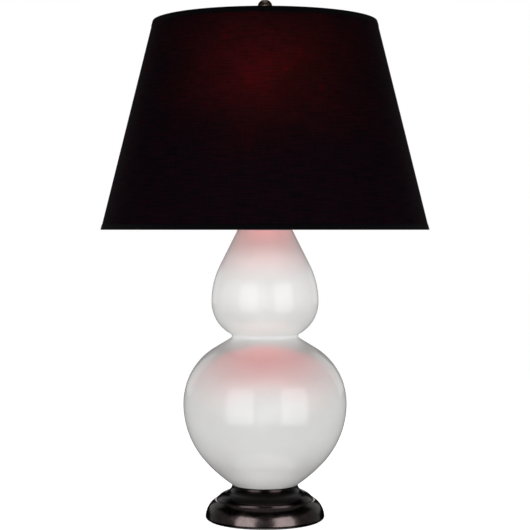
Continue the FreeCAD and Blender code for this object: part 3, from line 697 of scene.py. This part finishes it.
@dataclass
class Gourd:
    """The glazed body: a wide belly, a tight waist and a smaller crown."""

    foot: float = 53.6
    belly: float = 124.2
    belly_rise: float = 123.2
    underbelly: float = 131.0
    flank_angle: float = 41.6
    flank: float = 230.0
    shoulder: float = 100.0
    waist: float = 46.5
    waist_rise: float = 226.4
    crease: float = 3.5
    crown: float = 81.3
    crown_rise: float = 278.2
    crown_bend: float = 125.0
    crown_angle: float = 26.6
    mouth_rise: float = 419.2
    wall: float = 6.0
    waist_wall: float = 14.0
    floor: float = 9.0
    bore: float = 5.1
    lip: float = 1.5

    def wall_line(self, inset: float, waist_inset: float, low: float) -> np.ndarray:
        """One face of the wall from the foot to the mouth.

        Circular arcs round the belly and the crown stand upright at their widest. The belly's
        shoulder leaves its arc along the tangent to the waist; a small arc that touches that
        tangent and the crown's lower arc rounds the crease between them.

        Args:
            inset: How far the face lies inside the outer one.
            waist_inset: How far inside it lies at the waist.
            low: The level it starts from.

        Returns:
            Points (radius, height) in mm.
        """
        belly, waist = self.foot + self.belly_rise, self.foot + self.waist_rise
        crown, mouth = self.foot + self.crown_rise, self.foot + self.mouth_rise
        under, bend = self.underbelly - inset, self.flank - inset
        lean = math.radians(self.flank_angle)
        under_middle = self.belly - self.underbelly
        flank_middle = (under_middle + (under - bend) * math.cos(lean),
                        belly - (under - bend) * math.sin(lean))
        start = math.degrees(math.asin((low - flank_middle[1]) / bend))
        radius, middle = self.shoulder - inset, self.belly - self.shoulder
        away, above = self.waist - waist_inset - middle, waist - belly
        leave = math.atan2(above, away) - math.acos(radius / math.hypot(away, above))
        half = self.crown - inset - (self.waist - waist_inset)
        lower = (half**2 + (crown - waist)**2) / 2 / half
        lower_middle = np.array([self.crown - inset - lower, crown])
        upper, tilt = self.crown_bend - inset, math.radians(self.crown_angle)
        left = np.array([middle + radius * math.cos(leave), belly + radius * math.sin(leave)])
        way = np.array([self.waist - waist_inset, waist]) - left
        way /= np.hypot(*way)
        out = np.array([way[1], -way[0]])
        crease = self.crease + inset
        offset = left + crease * out - lower_middle
        along = -offset @ way
        shift = along - math.sqrt(along**2 - offset @ offset + (lower + crease)**2)
        centre = left + crease * out + way * shift
        to_crown = (lower_middle - centre) / (lower + crease)
        ends = [math.degrees(math.atan2(*side[::-1])) % 360 for side in (-out, to_crown)]
        meet = centre + crease * to_crown
        meet_angle = math.degrees(math.atan2(*(meet - lower_middle)[::-1]))
        top = np.array([self.crown - self.crown_bend + upper * math.cos(tilt),
                        crown + upper * math.sin(tilt)])
        mouth_across = top[0] - (mouth - top[1]) * math.tan(tilt)
        return np.concatenate([
            arc(flank_middle, bend, start, -self.flank_angle)[:-1],
            arc((under_middle, belly), under, -self.flank_angle, 0)[:-1],
            arc((middle, belly), radius, 0, math.degrees(leave)),
            arc(centre, crease, *ends),
            arc(lower_middle, lower, meet_angle, 0)[1:-1],
            arc((self.crown - self.crown_bend, crown), upper, 0, self.crown_angle),
            np.array([[mouth_across, mouth]])])

    def profile(self) -> np.ndarray:
        """Outer face, rounded lip, inner face and floor, as one closed outline."""
        outer = self.wall_line(0, 0, self.foot)
        inner = self.wall_line(self.wall, self.waist_wall, self.foot + self.floor)[::-1]
        mouth = self.foot + self.mouth_rise
        outer[-1] += (self.lip * math.tan(math.radians(self.crown_angle)), -self.lip)
        lip = outline([(*outer[-1], (self.lip * 1.4, 1)), (outer[-1][0] - self.lip, mouth)],
                      step=0.4)[1:5]
        floor = [[self.bore, self.foot + self.floor], [self.bore, self.foot]]
        return np.concatenate([outer, lip, inner, floor])

    def build(self) -> None:
        """Make the body."""
        glaze = Finishes.white_glaze
        dress(lathe("glazed_gourd", self.profile(), glaze.value, around=240), "base", glaze,
              "gourd_body")


@dataclass
class Shade:
    """Cloth and lining on two wire rings, with a ribbon folded over each rim."""

    top_radius: float = 169.6
    bottom_radius: float = 248.0
    base: float = 441.3
    top: float = 754.6
    cloth: float = 1.2
    lining: float = 0.8
    wire: float = 1.6
    ribbon: float = 0.5
    ribbon_depth: float = 7.6
    play: float = 0.1
    around: int = 240
    rows: int = 40

    def across(self, level: float, inset: float) -> float:
        """The cone's radius at a level, moved in by inset."""
        slope = (self.bottom_radius - self.top_radius) / (self.top - self.base)
        return self.top_radius + (self.top - level) * slope - inset

    def layer(self, name: str, inset: float, thick: float, slot: Finishes, node: str
              ) -> bpy.types.Object:
        """One conical layer, rim to rim, with the flat sheet's metres on it."""
        levels = np.linspace(self.base, self.top, self.rows)
        outer = np.stack([[self.across(z, inset) for z in levels], levels], axis=1)
        inner = np.stack([[self.across(z, inset + thick) for z in levels], levels], axis=1)
        mean = (self.top_radius + self.bottom_radius) / 2
        piece = lathe(name, np.concatenate([outer, inner[::-1]]), slot.value, self.around, mean)
        return dress(piece, "shade", slot, node)

    def ribbon_over(self, name: str, edge: float, inward: int, node: str
                    ) -> bpy.types.Object:
        """A ribbon folded over one rim: outer leg, rounded fold and short inner leg."""
        space = 2 * self.wire + 2 * self.play
        leg = self.cloth + self.lining + space
        outside = edge - inward * self.ribbon
        outer_end, inner_end = edge + inward * self.ribbon_depth, edge + inward * space
        thick = self.ribbon
        fold = inward * thick * 0.6
        # The level whose radius each corner takes, how far in from it, how far above it.
        # Shares of the thickness round the fold off.
        bends = [
            (outer_end, 0, 0), (outer_end, -thick * 0.6, 0),
            (outer_end, -thick, -inward * thick * 0.4), (edge, -thick, fold),
            (outside, -thick * 0.4, fold * 0.2), (outside, thick * 0.5, 0),
            (outside, leg + thick * 0.5, 0), (edge, leg + thick, 0),
            (inner_end, leg + thick, 0), (inner_end, leg, 0), (edge, leg, 0), (edge, 0, 0)]
        rows = np.array([(self.across(level, inset), level + lift)
                         for level, inset, lift in bends])
        slot = Finishes.shade_trim
        piece = lathe(name, rows, slot.value, self.around, self.across(edge, 0))
        return dress(piece, "shade", slot, node)

    def ring(self, name: str, edge: float, inward: int, node: str) -> bpy.types.Object:
        """The wire ring inside one rim."""
        level = edge + inward * (self.wire + self.play)
        radius = self.across(level, self.cloth + self.lining + self.wire + self.play)
        angle = np.arange(self.around) * (2 * math.pi / self.around)
        path = np.stack([radius * np.sin(angle), radius * np.cos(angle),
                         np.full(self.around, level)], axis=1)
        slot = Finishes.shade_frame
        return dress(rod(name, path, self.wire, slot.value), "shade", slot, node)

    def build(self) -> None:
        """Make the shade."""
        cloth = self.layer("slub_cloth", 0, self.cloth, Finishes.shade_linen, "shade_cloth")
        self.layer("red_lining", self.cloth, self.lining, Finishes.shade_lining, "shade_liner")
        ribbons, rings = [], []
        for end, edge, inward in (("top", self.top, -1), ("bottom", self.base, 1)):
            rings.append(self.ring(f"{end}_ring", edge, inward, f"shade_{end}_ring"))
            ribbons.append(self.ribbon_over(f"{end}_ribbon", edge, inward,
                                            f"shade_{end}_trim"))


@dataclass
class Finial:
    """The turned ball finial: foot, waist, bead, neck and ball."""

    seat: float = 744.4
    height: float = 44.9
    ball: float = 11.3
    foot: float = 8.0
    foot_thick: float = 2.4
    foot_edge: float = 0.5
    foot_round: float = 0.6
    hollow: float = 2.2
    hollow_rise: float = 2.0
    waist: float = 6.4
    waist_gap: float = 1.6
    bead: float = 7.2
    bead_half: float = 0.9
    bead_bend: float = 1.1
    bead_rise: float = 3.5
    neck: float = 4.6
    neck_bend: float = 2.6
    socket: float = 5.05
    socket_depth: float = 12.5

    def profile(self) -> np.ndarray:
        """The finial's closed outline, its edges turned round."""
        top, foot_top = self.seat + self.height, self.seat + self.foot_thick
        middle = top - self.ball
        join = middle - math.sqrt(self.ball**2 - self.neck**2)
        end = self.seat + self.socket_depth
        bead = end + self.bead_rise
        return outline([
            (self.socket, self.seat), (self.foot - self.foot_edge, self.seat,
                                       (self.foot_edge, 1)),
            (self.foot, self.seat + self.foot_edge),
            (self.foot, foot_top - self.foot_round, (self.foot_round, 1)),
            (self.foot - self.foot_round, foot_top, (self.hollow, -1)),
            (self.waist, foot_top + self.hollow_rise), (self.waist, bead - self.waist_gap),
            (self.bead, bead - self.bead_half, (self.bead_bend, 1)),
            (self.bead, bead + self.bead_half, (self.neck_bend, -1)),
            (self.neck, join, (self.ball, 1)), (self.ball, middle, (self.ball, 1)),
            (0, top), (0, end), (self.socket, end)], step=0.5)

    def build(self) -> None:
        """Make the finial."""
        slot = Finishes.finial_bronze
        dress(lathe("ball_finial", self.profile(), slot.value, around=72), "finial", slot,
              "finial_knob")


class Fittings:
    """The CAD nodes that show as they are, each in its own finish."""

    def build(self) -> None:
        """Give every CAD node that still shows the material of its slot."""
        for name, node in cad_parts.items():
            finish = Finishes[node.data.materials[0].name].value
            node.data.materials.clear()
            node.data.materials.append(finish.material())
            if not node.hide_render:
                log.info("%s: %s", name, finish.name)


# -------- studio
def choose(lamp: bpy.types.Object, state: str, *names: str) -> None:
    """Let a lamp light only some objects, or all but some.

    Args:
        lamp: The lamp.
        state: INCLUDE to light only the named objects, EXCLUDE to leave them out.
        names: The objects.
    """
    group = bpy.data.collections.new(f"{lamp.name}_receivers")
    for name in names:
        group.objects.link(bpy.data.objects[name])
    for entry in group.collection_objects:
        entry.light_linking.link_state = state
    lamp.light_linking.receiver_collection = group


def hang(name: str, lamp: bpy.types.Light, away: float, level: float, azimuth: float = 0.0,
         lean: float = 0.0) -> bpy.types.Object:
    """Hang a lamp round the axis and turn it to face the axis.

    Args:
        name: The lamp's name.
        lamp: Its light.
        away: Distance from the axis, metres.
        level: Height, metres.
        azimuth: Degrees to the right of the camera, seen from the object.
        lean: Degrees that it looks down, or up if below 0.

    Returns:
        The lamp as an object.
    """
    item = show(name, lamp)
    turn = math.radians(azimuth)
    item.location = (away * math.sin(turn), -away * math.cos(turn), level)
    item.rotation_euler = (math.radians(90 - lean), 0.0, turn)
    return item


@dataclass(frozen=True)
class Softbox:
    """A large soft lamp that faces the object.

    Attributes:
        name: Its name.
        azimuth: Degrees to the right of the camera, seen from the object.
        distance: From the object's axis, metres.
        level: Height of its middle, metres.
        size: Width and height, metres.
        radiance: How bright its face is beside a white card at 1.
        lean: Degrees that it looks down, or up if below 0.
        lights: The only objects that it lights; none named for all.
        spares: Objects that it leaves out.
        mirrored: Whether gloss shows its face.
        lit: Whether it lights matt surfaces.
    """

    name: str
    azimuth: float
    distance: float
    level: float
    size: tuple[float, float]
    radiance: float
    lean: float = 0.0
    lights: tuple[str, ...] = ()
    spares: tuple[str, ...] = ()
    mirrored: bool = True
    lit: bool = True

    def place(self) -> None:
        """Hang the lamp and pick what it lights."""
        lamp = bpy.data.lights.new(self.name, "AREA")
        lamp.shape = "RECTANGLE"
        lamp.size, lamp.size_y = self.size
        lamp.energy = self.radiance * math.pi * self.size[0] * self.size[1]
        item = hang(self.name, lamp, self.distance, self.level, self.azimuth, self.lean)
        item.visible_glossy, item.visible_diffuse = self.mirrored, self.lit
        if self.lights:
            choose(item, "INCLUDE", *self.lights)
        elif self.spares:
            choose(item, "EXCLUDE", *self.spares)


@dataclass
class Studio:
    """Pale floor, soft lamps, dark cards and the camera."""

    lens: float = 101.887
    camera_distance: float = 2.28
    camera_level: float = 0.4413
    camera_dip: float = 1.3557
    floor_front: float = 0.35
    floor_back: float = 2.0
    floor_half: float = 1.0
    floor_lift: float = 0.9
    ambient: float = 0.1
    card_radius: float = 2.4
    card_open: float = 8.0
    card_levels: tuple[float, float] = (-60.0, 90.0)
    card_grid: tuple[int, int] = (49, 26)
    # Name, distance from the axis, level, power, and what is lit.
    bulb_lamps: tuple[tuple[str, float, float, float, tuple[str, ...]], ...] = (
        ("bulb_light", 0.019, 0.523, 1.25, ("glazed_gourd",)),
        ("glow_light", 0.048, 0.66, 2.2, ("slub_cloth", "red_lining")))
    bulb_source: float = 0.02
    mouth_away: float = 0.2
    mouth_level: float = 0.4448
    mouth_lean: float = 62.0
    mouth_cone: float = 22.0
    mouth_width: float = 3.4
    mouth_watts: float = 0.72
    side: float = 38.0
    beam_away: float = 2.0
    beam_width: float = 2.4
    beam_source: float = 0.01
    # Name, level, power, and cone in degrees.
    beams: tuple[tuple[str, float, float, float], ...] = (
        ("crown_beam", 0.363, 64.0, 3.6), ("waist_beam", 0.29, 31.0, 1.8),
        ("belly_beam", 0.192, 30.0, 2.6), ("heel_beam", 0.061, 45.0, 2.0))

    def camera(self) -> None:
        """Set the camera where the photograph was taken from."""
        data = bpy.data.cameras.new("camera")
        data.lens, data.clip_start = self.lens, 0.01
        item = show("camera", data)
        item.location = (0, -self.camera_distance, self.camera_level)
        item.rotation_euler = (math.radians(90 - self.camera_dip), 0, 0)
        bpy.context.scene.camera = item

    def world(self) -> None:
        """White where it is seen or mirrored, a low even fill where it lights."""
        world = bpy.data.worlds.new("white_surround")
        bpy.context.scene.world = world
        world.use_nodes = True
        board = Board(world.node_tree)
        strength = self.seen_or(board, self.ambient, 1.0, 1.0)
        back = board.add("ShaderNodeBackground", inputs={
            "Color": (1, 1, 1, 1), "Strength": strength})
        board.add("ShaderNodeOutputWorld", inputs={"Surface": back.outputs["Background"]})

    def seen_or(self, board: Board, hidden: float, seen: float, mirrored: float
                ) -> bpy.types.NodeSocket:
        """One value for light that travels unseen, others for what is looked at or mirrored.

        Args:
            board: The tree to add to.
            hidden: The value for light that falls on things.
            seen: The value for what is looked at, straight or through glass.
            mirrored: The value for what a glossy surface shows.

        Returns:
            The socket that gives the value.
        """
        path = board.add("ShaderNodeLightPath")
        looked = board.add("ShaderNodeMath", {"operation": "MAXIMUM"}, {
            0: path.outputs["Is Camera Ray"], 1: path.outputs["Is Transmission Ray"]})
        straight = board.ramp(looked.outputs["Value"], 0.0, 1.0, hidden, seen)
        return board.ramp(path.outputs["Is Glossy Ray"], 0.0, 1.0, straight, mirrored)

    def floor(self) -> None:
        """A pale floor that takes the lamp's shadow, and that can't be seen from below."""
        mesh = bpy.data.meshes.new("floor")
        half, front, back = self.floor_half, -self.floor_front, self.floor_back
        mesh.from_pydata([(-half, front, 0), (half, front, 0), (half, back, 0),
                          (-half, back, 0)], [], [(0, 1, 2, 3)])
        material = bpy.data.materials.new("pale_floor")
        material.use_nodes = True
        board = Board(material.node_tree)
        lift = self.seen_or(board, 0.0, self.floor_lift, 0.0)
        surface = board.add("ShaderNodeBsdfPrincipled", inputs={
            "Base Color": linear("E6E6E4"), "Roughness": 0.9, "Specular IOR Level": 0.0,
            "Emission Color": (1, 1, 1, 1), "Emission Strength": lift})
        below = board.add("ShaderNodeNewGeometry").outputs["Backfacing"]
        clear = board.add("ShaderNodeBsdfTransparent").outputs["BSDF"]
        sides = board.add("ShaderNodeMixShader", inputs={
            0: below, 1: surface.outputs["BSDF"], 2: clear})
        board.add("ShaderNodeOutputMaterial", inputs={"Surface": sides.outputs["Shader"]})
        mesh.materials.append(material)
        item = show("floor", mesh)
        item.visible_glossy = False

    def dark_cards(self) -> None:
        """Black cards all round but for a slot behind; only the lamp's gloss mirrors them."""
        reach = math.radians(180 - self.card_open)
        rows, columns = self.card_grid
        turn, rise = np.meshgrid(
            np.linspace(-reach, reach, rows),
            np.radians(np.linspace(*self.card_levels, columns)), indexing="ij")
        points = self.card_radius * np.stack([
            np.sin(turn) * np.cos(rise), -np.cos(turn) * np.cos(rise), np.sin(rise)], axis=-1)
        mesh = bpy.data.meshes.new("dark_cards")
        mesh.from_pydata(points.reshape(-1, 3).tolist(), [],
                         grid_faces(rows, columns, closed=False).tolist())
        mesh.materials.append(Finish("black_card", "000000", 1.0).material())
        item = show("dark_cards", mesh)
        for sight in ("camera", "diffuse", "transmission", "volume_scatter", "shadow"):
            setattr(item, f"visible_{sight}", False)

    def beam(self, name: str, energy: float, cone: float, blend: float, width: float,
             place: tuple[float, ...], colour: str = "FFFFFF") -> None:
        """A crisp flat beam of light on the glaze alone.

        Args:
            name: The lamp's name.
            energy: Its power, watts.
            cone: How high the beam opens, degrees.
            blend: How soft the beam's edge is, up to 1.
            width: How many times wider than high the beam is.
            place: Distance, level, azimuth and lean, as hang() takes them.
            colour: The beam's colour.
        """
        lamp = bpy.data.lights.new(name, "SPOT")
        lamp.energy, lamp.color = energy, linear(colour)[:3]
        lamp.spot_size, lamp.spot_blend = math.radians(cone), blend
        lamp.shadow_soft_size = self.beam_source
        item = hang(name, lamp, *place)
        item.scale = (width, 1.0, 1.0)
        item.visible_glossy = False
        choose(item, "INCLUDE", "glazed_gourd")

    def front_beams(self) -> None:
        """Beams from the front, each on one band of the gourd."""
        for name, level, energy, cone in self.beams:
            self.beam(name, energy, cone, 1.0, self.beam_width, (self.beam_away, level))

    def downlight(self) -> None:
        """The red that the lining throws down, as beams from the shade's mouth.

        They reach in under the crown and light the belly's shoulder alone.
        """
        for azimuth in (0, 180):
            self.beam("mouth_light", self.mouth_watts, self.mouth_cone, 0.5, self.mouth_width,
                      (self.mouth_away, self.mouth_level, azimuth, self.mouth_lean), "FF1620")

    def lit_bulb(self) -> None:
        """The light that leaves the bulb downwards, and the light that fills the shade."""
        for name, spread, level, energy, lights in self.bulb_lamps:
            for azimuth in (0, 180):
                lamp = bpy.data.lights.new(name, "POINT")
                lamp.energy, lamp.shadow_soft_size = energy, self.bulb_source
                lamp.color = linear("FF8989")[:3]
                item = hang(name, lamp, spread, level, azimuth)
                item.visible_glossy = False
                choose(item, "INCLUDE", *lights)

    def floor_fill(self) -> None:
        """A low lamp in front of the foot, for the light that a wide pale floor throws up."""
        Softbox("floor_fill", 0, 0.25, 0.002, (0.6, 0.2), 0.55, lean=-90, mirrored=False).place()

    def softboxes(self) -> None:
        """Pairs all round the lamp, and cards of light for the dark metal alone."""
        foot, finial, cloths = ("cast_foot",), ("ball_finial",), ("slub_cloth", "red_lining")
        boxes = [
            Softbox("foot_middle", 0, 1.9, 0.1, (1.5, 1.8), 0.6, lights=foot),
            Softbox("finial_front", 0, 1.9, 0.8, (3.0, 2.4), 5.0, lights=finial),
            Softbox("finial_top", 0, 0.0, 2.3, (2.4, 2.4), 0.9, lean=90, lights=finial)]
        for hand, sign, window in (("left", -1, -34.5), ("right", 1, 41.2)):
            boxes += [
                Softbox(f"{hand}_softbox", sign * self.side, 1.6, 0.06, (1.1, 1.38), 2.1,
                        spares=foot, mirrored=False),
                Softbox(f"{hand}_window", window, 1.6, 0.32, (1.1, 1.56), 1.7, spares=foot,
                        lit=False),
                Softbox(f"{hand}_strip", sign * self.side, 1.58, 0.275, (1.1, 1.85), 9.5,
                        lights=foot),
                Softbox(f"{hand}_foot_side", sign * 95, 1.9, 0.3, (2.6, 1.6), 0.4, lights=foot),
                Softbox(f"{hand}_side_softbox", sign * 105, 1.9, 0.3, (1.4, 1.6), 3.0,
                        spares=foot + cloths, mirrored=False),
                Softbox(f"{hand}_back_softbox", sign * 140, 1.9, 0.9, (0.9, 1.4), 0.5)]
        for box in boxes:
            box.place()

    def build(self) -> None:
        """Set up the whole studio."""
        for part in (self.floor, self.dark_cards, self.softboxes, self.front_beams, self.lit_bulb,
                     self.downlight, self.floor_fill, self.world, self.camera):
            part()
        bpy.context.scene.view_settings.view_transform = "Standard"


def main() -> None:
    """Build the lamp's looks piece by piece, then the studio."""
    logging.basicConfig(level=logging.INFO, format="%(name)s: %(message)s")
    for assembly in (Foot(), Gourd(), Shade(), Finial(), Fittings(), Studio()):
        log.info("building %s", type(assembly).__name__)
        assembly.build()


if __name__ == "__main__":
    main()
